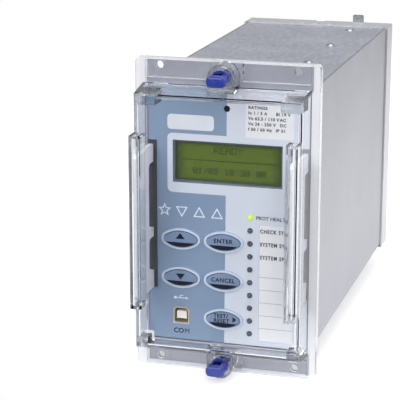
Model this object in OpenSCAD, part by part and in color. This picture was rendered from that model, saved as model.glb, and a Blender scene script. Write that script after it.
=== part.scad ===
// Protection relay in a withdrawable panel case.
// Millimetres. X is to the right, the front faces -Y and Z is up.
// The origin is on the panel seat, at the centre of the fixing holes.

/* [Fascia] */
// Width of the relay's front moulding
fascia_w = 90.4; // [80:0.2:110]
// Height of the relay's front moulding
fascia_h = 145.2; // [136:0.2:180]
// Thickness of the front moulding
fascia_t = 3; // [2.4:0.1:5]
// Corner radius of the front moulding
fascia_r = 1.5; // [0.5:0.1:3]
// Thickness of the printed front film
label_t = 0.5; // [0.2:0.1:1]
// Edge of the moulding left bare around the film
label_margin = 0.5; // [0.2:0.1:2]
// Depth of the film's face behind the front of the flange
label_set_back = 1.8; // [1:0.1:3]
// Distance of the fascia screw below the fascia's top edge
fascia_screw_edge = 10.5; // [10:0.1:11.5]
// Diameter of the driver's hole in the film, over the fascia screw
fascia_screw_hole = 3.6; // [3.2:0.1:5]

/* [Panel flange] */
// Gap all round the fascia in the flange's opening
aperture_gap = 0.4; // [0.3:0.1:1]
// Thickness of the steel flange plate
plate_t = 1.5; // [1:0.1:3]
// Step of the steel plate inside the edge of the clear moulding
plate_inset = 1; // [0.5:0.1:2]
// Thickness of the clear moulding in front of the plate
bezel_t = 5.5; // [4.5:0.1:8]
// Gap behind each clear moulding, where it seats
clear_gap = 0.05; // [0.02:0.01:0.1]
// Reach of the flange past the case at each side
flange_lip_x = 3; // [2:0.1:10]
// Reach of the flange past the case at the top and bottom
flange_lip_z = 13; // [12:0.1:20]
// Corner radius of the flange
flange_r = 2.5; // [1:0.1:5]
// Distance of the fixing holes from the flange's side edges
fix_edge_x = 12.9; // [9:0.1:20]
// Distance of the fixing holes from the flange's top and bottom edges
fix_edge_z = 4.5; // [4:0.1:7]
// Diameter of the fixing holes
fix_d = 4.5; // [3:0.1:5.5]
// Rim left outside each recessed strip at the top and bottom edges
strip_rim = 0.9; // [0.6:0.1:1.2]
// Rim left at the sides of each recessed strip
strip_side_rim = 5.4; // [3:0.1:6]
// Height of each recessed strip
strip_h = 10; // [9:0.1:10.5]
// Depth of each recessed strip
strip_depth = 3.5; // [1:0.1:4]

/* [Case] */
// Free space between the fascia's width and the inside of the case, each side
case_gap_x = 1.25; // [1:0.05:4]
// Free space between the fascia's height and the inside of the case, each end
case_gap_z = 0.6; // [0.5:0.05:3]
// Sheet thickness of the case
sheet_t = 1.2; // [0.8:0.1:2]
// Inside bend radius of the folded sheet
bend_r = 1; // [0.5:0.1:2]
// Depth of the case behind the panel seat
body_depth = 233; // [200:1:300]
// Gap between the lid and the sides
lid_gap = 0.3; // [0.2:0.1:1]
// Depth of the lid's folded edges
lid_lip = 10; // [5:0.5:14]
// Thickness of the rear band round the case
band_t = 1; // [0.6:0.1:2]
// Length of the rear band along the case
band_len = 17.5; // [10:0.5:30]
// Fit of the rear band on the case
band_fit = 0.1; // [0.05:0.05:0.3]
// Width of the notch in the top of the rear band
notch_w = 6; // [3:0.5:10]
// Length of the notch in the top of the rear band
notch_len = 3; // [1:0.5:8]
// Distance of the outer lanced tabs from the sides of the rear band
lance_edge = 5.5; // [4:0.1:10]
// Distance of the inner lanced tabs from the centre plane
lance_inner = 9.8; // [6:0.1:20]
// Distance of the lanced tabs behind the band's front edge
tab_lance_back = 1; // [0.5:0.1:4]
// Width of each lanced tab along the front of the rear band
tab_lance_w = 3.2; // [2:0.1:5]
// Length of each lanced tab
tab_lance_len = 2.2; // [1:0.1:4]
// Height of each lanced tab
tab_lance_h = 0.5; // [0.2:0.1:1]

/* [Guide rails] */
// Distance of the guide rails from the centre plane
rail_x = 25.7; // [15:0.1:35]
// Distance of the guide rails behind the panel seat
rail_front = 6; // [2:0.5:20]
// Distance of the guide rails from the rear panel
rail_back_gap = 18; // [12:0.5:24]
// Width of a guide rail
rail_w = 8; // [6:0.5:12]
// Height of a guide rail
rail_h = 2.8; // [2.4:0.1:3.2]
// Width of the groove in a guide rail
rail_groove_w = 3.2; // [2.4:0.1:5]
// Depth of the groove in a guide rail
rail_groove = 2; // [1.5:0.1:2.2]
// Running gap of the runner in the groove
runner_gap = 0.4; // [0.3:0.1:0.6]
// Distance of the first guide rivet behind the panel seat
rivet_y = 80; // [40:1:100]
// Distance of the last guide rivet from the rear end of its rail
rivet_end = 10.8; // [6:0.1:20]
// Number of rivets in each rail
rivet_count = 3; // [2:1:3]
// Diameter of the rivet shanks
rivet_d = 3.2; // [2:0.1:4]
// Diameter of the flat top of the rivet heads
rivet_top_d = 4.2; // [2:0.1:4.4]
// Diameter of the rivet heads
rivet_head_d = 6; // [4.5:0.1:8]
// Height of the rivet heads
rivet_head_h = 0.9; // [0.5:0.1:2]

/* [Display] */
// Width of the visible display
lcd_w = 60.2; // [40:0.2:64]
// Height of the visible display
lcd_h = 22; // [16:0.2:26]
// Sideways place of the display's centre
lcd_x = 0.25; // [-2:0.05:2]
// Distance of the display's centre below the fascia's top edge
lcd_drop = 41.4; // [39:0.1:44]
// Lip of the window beyond the visible display
lcd_lip = 0.9; // [0.5:0.1:2]
// Thickness of the window
lcd_window_t = 1.6; // [1:0.1:2.4]
// Border of the display module round the visible display
lcd_border = 5; // [4:0.1:6]
// Thickness of the display glass
lcd_glass_t = 1.8; // [1:0.1:3]
// Clearance of the parts that seat in the fascia
seat_gap = 0.1; // [0.05:0.05:0.2]

/* [Keys] */
// Distance of the left column of keys from the fascia's left edge
key_side = 19.1; // [18:0.1:20]
// Distance between the columns of keys
key_column_pitch = 24.7; // [23.6:0.1:25.5]
// Distance of the top row of keys below the centre
key_drop = 13.1; // [12:0.1:14]
// Distance of the bottom row of keys from the fascia's bottom edge
key_foot = 14.5; // [13:0.1:16]
// Width of the ring round a key
ring_w = 22.4; // [18:0.1:23]
// Height of the ring round a key
ring_h = 12.3; // [10:0.1:13]
// Width of the ring's rim
ring_t = 1.25; // [0.8:0.05:1.6]
// Height of the ring above the film
ring_rise = 1.1; // [0.5:0.1:2]
// Radius of the rounded ends of a ring
ring_end_r = 4; // [3:0.1:4.6]
// Gap between a key and its ring
key_gap = 0.4; // [0.3:0.05:0.6]
// Height of a key's face above the ring
key_rise = 0.7; // [0.2:0.1:2]
// Thickness of a key's flange behind the fascia
key_flange_t = 1.6; // [1:0.1:2.2]
// Diameter of a key's stem
key_stem_d = 5; // [3:0.1:8]
// Length of a key's stem
key_stem = 2.4; // [1:0.1:3]
// End play of a key behind the fascia
key_play = 0.3; // [0.2:0.05:0.5]
// Travel of a key
key_travel = 1; // [0.5:0.1:1.5]

/* [Indicators] */
// Distance of the column of lamps from the right column of keys
led_step = 14.9; // [14.4:0.1:16]
// Height of the top lamp above the centre
led_top = 2; // [1:0.1:3]
// Distance of the bottom lamp from the fascia's bottom edge
led_edge = 7.3; // [7.1:0.1:12]
// Number of lamps
led_count = 10; // [4:1:10]
// Diameter of a lamp
led_d = 3; // [2:0.1:3.4]
// Clearance of a lamp in the fascia
led_gap = 0.15; // [0.1:0.05:0.3]
// Step of a lamp's foot behind the fascia
led_foot = 0.5; // [0.3:0.1:1]
// Distance of the label strip's left edge from the column of lamps
strip_step = 5.3; // [4.6:0.1:8]
// Distance of the label strip from the fascia's right edge
strip_edge = 7; // [6:0.1:12]
// Thickness of the label strip
strip_t = 0.4; // [0.2:0.1:0.5]

/* [USB port] */
// Width of the port's shell
usb_w = 9.6; // [9:0.1:12.5]
// Height of the port's shell
usb_h = 10.2; // [8:0.1:11]
// Wall of the port's shell
usb_t = 0.9; // [0.4:0.1:1.2]
// Corner chamfer at the top of the port
usb_chamfer = 1.4; // [1:0.1:3]
// Width of the contact tongue
usb_tongue_w = 5.6; // [4:0.1:6]
// Height of the contact tongue
usb_tongue_h = 4.4; // [2:0.1:5]
// Depth of the contact tongue behind the port's mouth
usb_tongue_back = 1; // [0.5:0.1:3]

/* [Cover] */
// Width of the flange's edge that carries the cover's side walls
cover_land_x = 1.65; // [1.5:0.05:2.5]
// Width of the flange's edge that carries the cover's end walls
cover_land_z = 1.6; // [1.5:0.05:2.5]
// Depth of the cover in front of the flange
cover_depth = 19.8; // [15:0.1:30]
// Wall thickness of the cover
cover_t = 1.6; // [1.2:0.1:2.2]
// Draft of the cover's side walls
cover_draft_x = 0.85; // [0.3:0.05:1.2]
// Draft of the cover's end walls
cover_draft_z = 2.6; // [1:0.1:3]
// Edge chamfer of the cover
cover_edge = 0.9; // [0.3:0.1:1.2]
// Height of the side ridges above the cover's face
ridge_rise = 9.7; // [6:0.1:14]
// Distance of the side ridges below the top of the cover's face
ridge_drop = 21.3; // [16:0.1:27]
// Distance of the side ridges above the bottom of the cover's face
ridge_lift = 25.7; // [18:0.1:28]
// Width of the blocks in the cover's upper corners
upper_block_w = 11; // [6:0.5:12]
// Height of the blocks in the cover's upper corners
upper_block_h = 4.5; // [4:0.5:9]
// Width of the blocks in the cover's lower corners
lower_block_w = 6; // [5:0.5:10]
// Height of the blocks in the cover's lower corners
lower_block_h = 4.5; // [4:0.5:18]
// Width of the slot in the cover's bottom wall
drain_w = 17.5; // [8:0.5:24]
// Length of the slot in the cover's bottom wall
drain_len = 6; // [3:0.5:8]
// Distance of the slot in front of the flange
drain_back = 1.2; // [0.8:0.1:3]
// Gap between the corner blocks and the film
block_gap = 8; // [2:0.1:10]

/* [Handles] */
// Thickness of a pull handle
handle_t = 2.6; // [2.4:0.1:6]
// Gap between a handle and the ridge over it
handle_gap = 0.4; // [0.3:0.1:1]
// Distance of a handle's top below the ridge's top
handle_drop = 10.4; // [2.4:0.1:14]
// Distance of a handle's bottom above the ridge's bottom
handle_lift = 4; // [2.4:0.1:8]
// Thickness of the dark pad under a handle
pad_t = 1; // [0.6:0.1:1.6]
// Width of the pad beside the handle's inner face
pad_step = 1.8; // [0.6:0.1:3]
// Length of the pad above the handle's top
pad_end = 2.2; // [0.5:0.1:3]
// Depth of the finger gap
finger_gap = 8; // [7:0.5:12]
// Height of a handle's end legs
handle_leg = 10; // [6:0.5:12]
// Height of a handle's middle rib
handle_rib = 5; // [3:0.5:8]
// Height of the middle rib's centre
handle_rib_z = -10; // [-14:0.5:4]
// Diameter of a handle's screws
handle_screw_d = 1.6; // [1.2:0.1:1.8]
// Head diameter of a handle's screws
handle_head_d = 3.2; // [2.6:0.1:4.6]
// Depth of a handle's screw holes
handle_bore = 6; // [3:0.1:7]
// Corner chamfer of a handle
handle_edge = 2.5; // [1:0.1:4]
// Chamfer along the front of a handle's grip
grip_edge = 1; // [0.8:0.1:1.4]
// Corner radius of the finger gaps
finger_r = 2.5; // [1:0.1:3.5]

/* [Securing pins] */
// Distance of a pin from the flange's edge
pin_edge = 7.5; // [6.5:0.1:8]
// Diameter of a pin's shaft
pin_d = 6; // [4.5:0.1:6.4]
// Running fit of a pin in the cover
pin_fit = 0.05; // [0.02:0.01:0.1]
// Clearance of a pin in the flange's socket
socket_gap = 0.5; // [0.3:0.1:0.6]
// Half width of the cover's pin bosses
boss_r = 7.5; // [7:0.1:8.5]
// Depth of the cover's pin bosses
boss_depth = 12; // [8:0.1:14]
// Width of the solid part of the flange behind a boss
socket_land_w = 18; // [17:0.5:22]
// Width of a pin's wing
wing_w = 11; // [9.6:0.1:14]
// Thickness of a pin's wing
wing_h = 6.6; // [5:0.1:8]
// Length of a pin's wing
wing_len = 9; // [8:0.5:16]
// Radius of the rounded ends of a wing
wing_end_r = 2.6; // [2:0.1:3]
// Edge radius of a wing's front
wing_edge = 2; // [1:0.1:2.5]
// Width of the groove in a wing
wing_groove_w = 4.6; // [2:0.1:5]
// Depth of the groove in a wing
wing_groove = 2.3; // [0.5:0.1:2.4]
// Length of the groove in a wing
wing_groove_len = 5.5; // [3:0.1:8]
// Diameter of a pin's collar
collar_d = 9.4; // [8:0.1:11]
// Thickness of a pin's collar
collar_t = 1.6; // [1:0.1:3]
// End play of a pin
pin_play = 0.3; // [0.2:0.05:0.5]
// Thickness of a pin's clip
clip_t = 1; // [0.6:0.1:1.5]
// Outer diameter of a pin's clip
clip_d = 9; // [8:0.1:10]
// Width of the clip's mouth
clip_mouth = 3.6; // [3:0.1:4.4]
// Depth of the clip's groove
clip_groove = 0.5; // [0.3:0.05:0.8]
// Gap between a pin's tip and the steel plate
pin_tip_gap = 0.7; // [0.4:0.1:2]

/* [Inside] */
// Thickness of the chassis plates
chassis_t = 1.2; // [0.8:0.1:2]
// Gap from the guide rails to the chassis plates
chassis_gap = 1; // [0.6:0.1:2]
// Step of the chassis plates inside the fascia's edge
chassis_inset = 1.7; // [1.5:0.1:4]
// Width of the ears that hold the fascia
ear_w = 9.5; // [6:0.5:10]
// Depth of the blind holes in the fascia for the ears' screws
ear_bore = 2; // [1:0.1:2.2]
// Height of the ears that hold the fascia
ear_h = 9; // [8:0.5:10]
// Width of the ear behind the fascia screw
centre_ear_w = 16; // [10:0.5:24]
// Thickness of the circuit boards
board_t = 1.6; // [1:0.1:2.4]
// Distance of the front board behind the fascia
front_board_gap = 8.2; // [7.5:0.1:12]
// Step of the front board inside the chassis plates' edges
front_board_inset = 1.5; // [0.5:0.1:3]
// Gap between the front board and the chassis plates
front_board_end_gap = 0.5; // [0.3:0.1:0.9]
// Distance of the upright boards behind the front board
board_gap = 6; // [4:0.5:10]
// Distance of the pillars from the front board's side edges
pillar_edge_x = 3.2; // [3:0.1:5]
// Distance of the pillars from the chassis plates
pillar_drop = 14.2; // [13:0.1:16]
// Width across corners of the pillars
pillar_d = 5.5; // [4:0.1:6]
// Thickness of the key mat
mat_t = 1.2; // [0.8:0.1:1.6]
// Gap left between a pressed key and its pad
mat_gap = 0.3; // [0.2:0.1:0.6]
// Edge of the key mat round its pads
mat_edge = 3; // [1:0.1:3.4]
// Diameter of the pads on the key mat
mat_pad_d = 9; // [6:0.5:10]
// Diameter of the small screws
screw_d = 3; // [2.5:0.1:3.5]
// Head diameter of the small screws
screw_head_d = 5.4; // [4.5:0.1:6]
// Head height of the small screws
screw_head_h = 2; // [1.2:0.1:2.4]
// Clearance of the small screws
screw_gap = 0.2; // [0.1:0.05:0.4]
// Width of the slots in the screw heads
screw_slot_w = 0.8; // [0.5:0.1:1.2]
// Depth of the slots in the screw heads
screw_slot = 0.7; // [0.3:0.1:1.1]
// Number of input transformers
transformer_count = 4; // [2:1:4]
// Height of a transformer, from the board
transformer_x = 17; // [12:0.5:18]
// Length of a transformer
transformer_y = 32; // [24:1:40]
// Width of a transformer
transformer_z = 26; // [20:1:28]
// Height of a transformer's core
transformer_core = 10; // [6:0.5:12]
// Length of a transformer's coil
coil_y = 20; // [12:0.5:22]
// Width of a transformer's coil
coil_z = 14; // [8:0.5:18]
// Corner radius of a transformer's coil
coil_r = 3.5; // [1:0.1:3.8]
// Spacing of the transformers
transformer_pitch = 31; // [29:0.5:33]
// Number of output relays
output_count = 5; // [2:1:6]
// Height of an output relay, from the board
output_x = 15.7; // [10:0.1:18]
// Length of an output relay
output_y = 29; // [20:0.5:30]
// Width of an output relay
output_z = 12.7; // [10:0.1:16]
// Corner radius of an output relay
output_r = 1; // [0.5:0.1:2]
// Spacing of the output relays
output_pitch = 19; // [17:0.5:20]
// Number of storage capacitors
capacitor_count = 3; // [1:1:3]
// Diameter of a capacitor
capacitor_d = 16; // [10:0.5:20]
// Length of a capacitor
capacitor_len = 25; // [15:0.5:30]
// Distance of the capacitors behind the boards' front edge
capacitor_y = 32; // [14:1:60]
// Spacing of the capacitors
capacitor_pitch = 24; // [22:0.5:30]

/* [Terminals] */
// Gap between the flanges of the two terminal blocks
block_mid_gap = 3.4; // [2:0.1:6]
// Gap between a terminal block's flange and the side of the case
block_side_gap = 2.75; // [2:0.05:5]
// Free height above and below a terminal block
block_end_gap = 9.55; // [9:0.05:12]
// Number of terminal rows
row_count = 14; // [8:1:14]
// Thickness of the ribs between the rows
rib_t = 1.3; // [0.8:0.1:1.6]
// Depth of the ribs behind the terminal face
rib_depth = 5; // [3:0.1:8]
// Reach of the terminal face behind the rear panel
block_reach = 3.5; // [2:0.1:8]
// Clearance of a terminal block in the rear panel
block_fit = 0.2; // [0.1:0.05:0.5]
// Reach of a block's flange past its body at each side
block_flange_x = 5.5; // [4.5:0.1:6]
// Reach of a block's flange past its body at the ends
block_flange_z = 2.5; // [1:0.1:3]
// Thickness of a block's flange
block_flange_t = 3; // [2:0.1:5]
// Depth of a block's socket in front of its flange
socket_depth = 23; // [15:0.5:30]
// Gap between a socket and the relay's rear connector
socket_end_gap = 0.3; // [0.2:0.1:1]
// Distance of a block's fixing screws from its flange's edge
block_screw_edge = 2.4; // [2:0.1:2.7]
// Height of a block's fixing screws above the centre
block_screw_z = 50; // [30:1:58]
// Diameter of the terminal screws
terminal_d = 4; // [3:0.1:4.5]
// Head diameter of the terminal screws
terminal_head_d = 6.8; // [5:0.1:7]
// Head height of the terminal screws
terminal_head_h = 2.6; // [1.5:0.1:3]
// Length of the terminal screws
terminal_len = 8; // [5:0.5:9]
// Width of a rear connector
connector_w = 24; // [16:0.5:26]
// Depth of a rear connector
connector_len = 18; // [10:0.5:24]
// Depth of the contact slots in a rear connector
contact_depth = 4; // [2:0.5:8]
// Width of the contact slots
contact_w = 5; // [3:0.5:8]
// Height of the contact slots
contact_h = 1.4; // [0.8:0.1:2]

/* [Earth clamp] */
// Sideways place of the earth clamp
earth_x = 25.5; // [20:0.1:30]
// Width of the earth clamp
earth_w = 7.2; // [6.8:0.1:8]
// Height of the earth clamp above the case
earth_rise = 4.7; // [3:0.1:8]
// Thickness of the earth clamp
earth_t = 1.4; // [1:0.1:2]
// Corner radius of the earth clamp
earth_r = 1; // [0.5:0.1:2]
// Distance of the earth screw below the top of the case
earth_drop = 5; // [4.6:0.1:5.4]

/* [Hidden] */
$fn = 48;
over = 1;
bezel_back = -plate_t;
bezel_front = bezel_back - bezel_t;
label_front = bezel_front + label_set_back;
fascia_front = label_front + label_t;
fascia_back = fascia_front + fascia_t;
aperture_w = fascia_w + 2 * aperture_gap;
aperture_h = fascia_h + 2 * aperture_gap;
inner_w = fascia_w + 2 * case_gap_x;
inner_h = fascia_h + 2 * case_gap_z;
sleeve_w = inner_w + 2 * sheet_t;
sleeve_h = inner_h + 2 * sheet_t;
body_w = sleeve_w + 2 * (band_fit + band_t);
body_h = sleeve_h + 2 * (band_fit + band_t);
flange_w = body_w + 2 * flange_lip_x;
flange_h = body_h + 2 * flange_lip_z;
fix_x = flange_w / 2 - fix_edge_x;
fix_z = flange_h / 2 - fix_edge_z;
rear_inside = body_depth - sheet_t;
sleeve_back = rear_inside - band_fit;
band_front = body_depth - band_len;
lid_w = inner_w - 2 * lid_gap;
lance_outer = body_w / 2 - lance_edge;
lance_x = [-lance_outer, -lance_inner, 0, lance_inner, lance_outer];
rail_back = rear_inside - rail_back_gap;
rivet_pitch = (rail_back - rivet_end - rivet_y) / (rivet_count - 1);
rail_face = inner_h / 2 - rail_h;
runner_w = rail_groove_w - 2 * runner_gap;
runner_top = rail_face + rail_groove - runner_gap;
chassis_top = rail_face - chassis_gap;
chassis_under = chassis_top - chassis_t;
chassis_w = fascia_w - 2 * chassis_inset;
socket_front = rear_inside - block_flange_t - socket_depth;
connector_back = socket_front - socket_end_gap;
connector_front = connector_back - connector_len;
chassis_back = connector_back;
front_board_y = fascia_back + front_board_gap;
front_board_w = chassis_w - 2 * front_board_inset;
board_front = front_board_y + board_t + board_gap;
board_len = connector_front - board_front;
pillar_x = front_board_w / 2 - pillar_edge_x;
pillar_z = chassis_under - pillar_drop;
ear_z = chassis_top - ear_h / 2;
ear_x = chassis_w / 2 - ear_w / 2;
fascia_screw_z = fascia_h / 2 - fascia_screw_edge;
lcd_z = fascia_h / 2 - lcd_drop;
key_left = key_side - fascia_w / 2;
key_right = key_left + key_column_pitch;
key_top = -key_drop;
key_pitch = (fascia_h / 2 - key_drop - key_foot) / 2;
key_places = [
    ["up", key_left, 0], ["enter", key_right, 0],
    ["down", key_left, 1], ["cancel", key_right, 1], ["test", key_right, 2]];
usb_z = key_top - 2 * key_pitch;
key_back = fascia_back + key_play;
key_end = key_back + key_flange_t + key_stem;
led_x = key_right + led_step;
led_pitch = (fascia_h / 2 - led_edge + led_top) / (led_count - 1);
led_rows = [for (i = [0 : led_count - 1]) led_top - i * led_pitch];
strip_left = led_x + strip_step;
strip_w = fascia_w / 2 - strip_edge - strip_left;
strip_top = led_top - led_pitch / 2;
strip_h_total = (led_count - 1) * led_pitch;
cover_base_w = aperture_w + 2 * cover_land_x;
cover_base_h = aperture_h + 2 * cover_land_z;
cover_face_w = cover_base_w - 2 * cover_draft_x;
cover_face_h = cover_base_h - 2 * cover_draft_z;
cover_back = bezel_front - clear_gap;
cover_front = bezel_front - cover_depth;
ridge_front = cover_front - ridge_rise;
ridge_outer = cover_face_w / 2;
ridge_top = cover_face_h / 2 - ridge_drop;
ridge_bottom = ridge_lift - cover_face_h / 2;
ridge_inner = ridge_outer - handle_t - 2 * handle_gap - 2 * cover_t;
handle_x = ridge_inner + cover_t + handle_gap;
handle_front = ridge_front + cover_t + handle_gap;
handle_top = ridge_top - handle_drop;
handle_bottom = ridge_bottom + handle_lift;
handle_screw_x = handle_x + handle_t / 2;
pad_front = label_front - pad_t;
finger_front = pad_front - finger_gap;
pin_z = flange_h / 2 - pin_edge;
boss_front = bezel_front - boss_depth;
collar_back = boss_front - pin_play;
wing_back = collar_back - collar_t;
wing_front = wing_back - wing_len;
clip_front = boss_front + cover_t + pin_play;
pin_tip = bezel_back - pin_tip_gap;
block_flange_w = inner_w / 2 - block_side_gap - block_mid_gap / 2;
block_w = block_flange_w - 2 * block_flange_x;
block_x = (block_flange_w + block_mid_gap) / 2;
block_h = inner_h - 2 * block_end_gap;
row_pitch = (block_h - rib_t) / row_count;
column_x = (block_w + rib_t) / 4;
block_screw_x = block_flange_w / 2 - block_screw_edge;
terminal_face = body_depth + block_reach;
earth_z = body_h / 2 - earth_drop;

// An outline in X and Z, extruded from y0 to y1
module slab(y0, y1) {
    translate([0, y1, 0])
        rotate([90, 0, 0])
            linear_extrude(height = y1 - y0)
                children();
}

// An outline in Y and Z, extruded from x0 to x1
module plank(x0, x1) {
    translate([x0, 0, 0])
        rotate([90, 0, 90])
            linear_extrude(height = x1 - x0)
                children();
}

// An outline in X and Y, extruded from z0 to z1
module deck(z0, z1) {
    translate([0, 0, z0])
        linear_extrude(height = z1 - z0)
            children();
}

// A round bar along Y
module rod(y0, y1, d) {
    translate([0, y1, 0])
        rotate([90, 0, 0])
            cylinder(h = y1 - y0, d = d);
}

// A box between two corners
module box(low, high) {
    translate(low)
        cube(high - low);
}

module both_sides() {
    children();
    mirror([1, 0, 0])
        children();
}

module both_ends() {
    children();
    mirror([0, 0, 1])
        children();
}

module rect(w, h) {
    square([w, h], center = true);
}

module rounded_rect(w, h, r) {
    rect(w - 2 * r, h);
    rect(w, h - 2 * r);
    for (x = [-1, 1], z = [-1, 1])
        translate([x * (w / 2 - r), z * (h / 2 - r)])
            circle(r = r);
}

// An oval of four tangent arcs, with end arcs of radius r
module oval(w, h, r) {
    end = w / 2 - r;
    side_r = (end * end + h * h / 4 - r * r) / (h - 2 * r);
    tangent = end * side_r / (side_r - r);
    intersection() {
        translate([0, h / 2 - side_r])
            circle(r = side_r, $fn = 96);
        translate([0, side_r - h / 2])
            circle(r = side_r, $fn = 96);
        rect(2 * tangent, h);
    }
    for (x = [-1, 1])
        translate([x * end, 0])
            circle(r = r);
}

// A slotted screw along Y, with its head's seat at y = 0 and its shank towards +Y
module slotted_screw(d, head_d, head_h, length) {
    difference() {
        union() {
            rod(-head_h, 0, head_d);
            rod(-over / 2, length, d);
        }
        box([-head_d, -head_h - over, -screw_slot_w / 2],
            [head_d, -head_h + screw_slot, screw_slot_w / 2]);
    }
}

module key_places_2d() {
    for (place = key_places)
        translate([place[1], key_top - place[2] * key_pitch])
            children();
}

module fixing_holes_2d() {
    for (x = [-1, 1], z = [-1, 1])
        translate([x * fix_x, z * fix_z])
            circle(d = fix_d);
}

// The holes along Y for the rivets of one guide rail
module rail_rivet_places() {
    for (i = [0 : rivet_count - 1])
        translate([rail_x, rivet_y + i * rivet_pitch, 0])
            children();
}

// Case

// The outline of the folded case, square at the top, where the lid closes it
module sleeve_outline() {
    rounded_rect(sleeve_w, sleeve_h, bend_r + sheet_t);
    translate([0, sleeve_h / 4])
        rect(sleeve_w, sleeve_h / 2);
}

module case_shell() {
    color("gainsboro")
        difference() {
            slab(bezel_back, sleeve_back)
                difference() {
                    sleeve_outline();
                    rounded_rect(inner_w, inner_h, bend_r);
                    translate([0, sleeve_h / 2])
                        rect(inner_w, sleeve_h);
                }
            rail_rivet_places()
                translate([0, 0, -sleeve_h / 2 - over])
                    cylinder(h = 2 * over + sheet_t, d = rivet_d);
        }
}

module case_lid() {
    color("lightgray")
        difference() {
            slab(bezel_back, sleeve_back)
                difference() {
                    translate([0, sleeve_h / 2 - (lid_lip + sheet_t) / 2])
                        rect(lid_w, lid_lip + sheet_t);
                    translate([0, inner_h / 2 - lid_lip])
                        rect(lid_w - 2 * sheet_t, 2 * lid_lip);
                }
            rail_rivet_places()
                translate([0, 0, inner_h / 2 - over])
                    cylinder(h = 2 * over + sheet_t, d = rivet_d);
        }
}

module block_screw_places() {
    for (x = [-1, 1], z = [-1, 1])
        translate([x * (block_x + block_screw_x), 0, z * block_screw_z])
            children();
}

module rear_panel() {
    color("silver")
        difference() {
            union() {
                slab(rear_inside, body_depth)
                    difference() {
                        rounded_rect(body_w, body_h, bend_r);
                        for (x = [-1, 1])
                            translate([x * block_x, 0])
                                rect(block_w + 2 * block_fit, block_h + 2 * block_fit);
                    }
                slab(band_front, rear_inside)
                    difference() {
                        rounded_rect(body_w, body_h, bend_r);
                        rect(sleeve_w + 2 * band_fit, sleeve_h + 2 * band_fit);
                    }
                for (x = lance_x)
                    box([x - tab_lance_w / 2, band_front + tab_lance_back, body_h / 2 - band_t / 2],
                        [x + tab_lance_w / 2, band_front + tab_lance_back + tab_lance_len,
                         body_h / 2 + tab_lance_h]);
            }
            box([-notch_w / 2, body_depth - notch_len, body_h / 2 - band_t - band_fit],
                [notch_w / 2, body_depth + over, body_h / 2 + over]);
            translate([earth_x, 0, earth_z])
                rod(rear_inside - over, body_depth + over, terminal_d);
            block_screw_places()
                rod(rear_inside - over, body_depth + over, screw_d);
        }
}

module mounting_flange() {
    color("darkgray")
        slab(-plate_t, 0)
            difference() {
                rounded_rect(flange_w - 2 * plate_inset, flange_h - 2 * plate_inset, flange_r);
                sleeve_outline();
                fixing_holes_2d();
            }
}

module flange_bezel() {
    strip_right = flange_w / 2 - strip_side_rim;
    strip_outer = flange_h / 2 - strip_rim;
    color("whitesmoke", 0.5)
        difference() {
            slab(bezel_front, bezel_back - clear_gap)
                difference() {
                    rounded_rect(flange_w, flange_h, flange_r);
                    rounded_rect(aperture_w, aperture_h, fascia_r);
                    fixing_holes_2d();
                    for (z = [-1, 1])
                        translate([0, z * pin_z])
                            circle(d = pin_d + 2 * socket_gap);
                }
            both_ends()
                both_sides()
                    box([socket_land_w / 2, bezel_front - over, strip_outer - strip_h],
                        [strip_right, bezel_front + strip_depth, strip_outer]);
        }
}

// One moulding with ribs between its rows, placed by its centre
module terminal_block() {
    color("dimgray")
        difference() {
            union() {
                slab(rear_inside, terminal_face)
                    rect(block_w, block_h);
                slab(rear_inside - block_flange_t, rear_inside)
                    rect(block_flange_w, block_h + 2 * block_flange_z);
                slab(socket_front, rear_inside - block_flange_t)
                    rect(connector_w, block_h);
                slab(terminal_face, terminal_face + rib_depth) {
                    rect(rib_t, block_h);
                    for (i = [0 : row_count])
                        translate([0, (i - row_count / 2) * row_pitch])
                            rect(block_w, rib_t);
                }
            }
            terminal_places()
                rod(terminal_face - terminal_len - over, terminal_face + over, terminal_d);
            for (x = [-1, 1], z = [-1, 1])
                translate([x * block_screw_x, 0, z * block_screw_z])
                    rod(rear_inside - block_flange_t - over, rear_inside + over, screw_d);
        }
}

module terminal_places() {
    for (x = [-1, 1], i = [0 : row_count - 1])
        translate([x * column_x, 0, (i - (row_count - 1) / 2) * row_pitch])
            children();
}

module terminal_block_left() {
    translate([-block_x, 0, 0])
        terminal_block();
}

module terminal_block_right() {
    translate([block_x, 0, 0])
        terminal_block();
}

module terminal_screws() {
    color("silver")
        for (side = [-1, 1])
            translate([side * block_x, terminal_face, 0])
                terminal_places()
                    rotate([0, 0, 180])
                        slotted_screw(terminal_d, terminal_head_d, terminal_head_h, terminal_len);
}

module terminal_block_screws() {
    color("silver")
        translate([0, body_depth, 0])
            block_screw_places()
                rotate([0, 0, 180])
                    slotted_screw(screw_d, screw_head_d, screw_head_h, sheet_t + block_flange_t);
}

module earth_clamp() {
    clamp_top = body_h / 2 + earth_rise;
    clamp_bottom = earth_z - earth_w / 2;
    color("silver")
        slab(body_depth, body_depth + earth_t)
            difference() {
                translate([earth_x, (clamp_top + clamp_bottom) / 2])
                    rounded_rect(earth_w, clamp_top - clamp_bottom, earth_r);
                translate([earth_x, earth_z])
                    circle(d = terminal_d);
            }
}

module earth_screw() {
    color("gold")
        translate([earth_x, body_depth + earth_t, earth_z])
            rotate([0, 0, 180])
                slotted_screw(terminal_d, terminal_head_d, terminal_head_h, terminal_len);
}

// One grooved rail, below the lid
module guide_rail() {
    color("darkslategray")
        difference() {
            box([rail_x - rail_w / 2, rail_front, rail_face],
                [rail_x + rail_w / 2, rail_back, inner_h / 2]);
            box([rail_x - rail_groove_w / 2, rail_front - over, rail_face - over],
                [rail_x + rail_groove_w / 2, rail_back + over, rail_face + rail_groove]);
            rail_rivet_places()
                translate([0, 0, rail_face])
                    cylinder(h = rail_h + over, d = rivet_d);
        }
}

module guide_rail_top() {
    guide_rail();
}

module guide_rail_bottom() {
    mirror([0, 0, 1])
        guide_rail();
}

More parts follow.
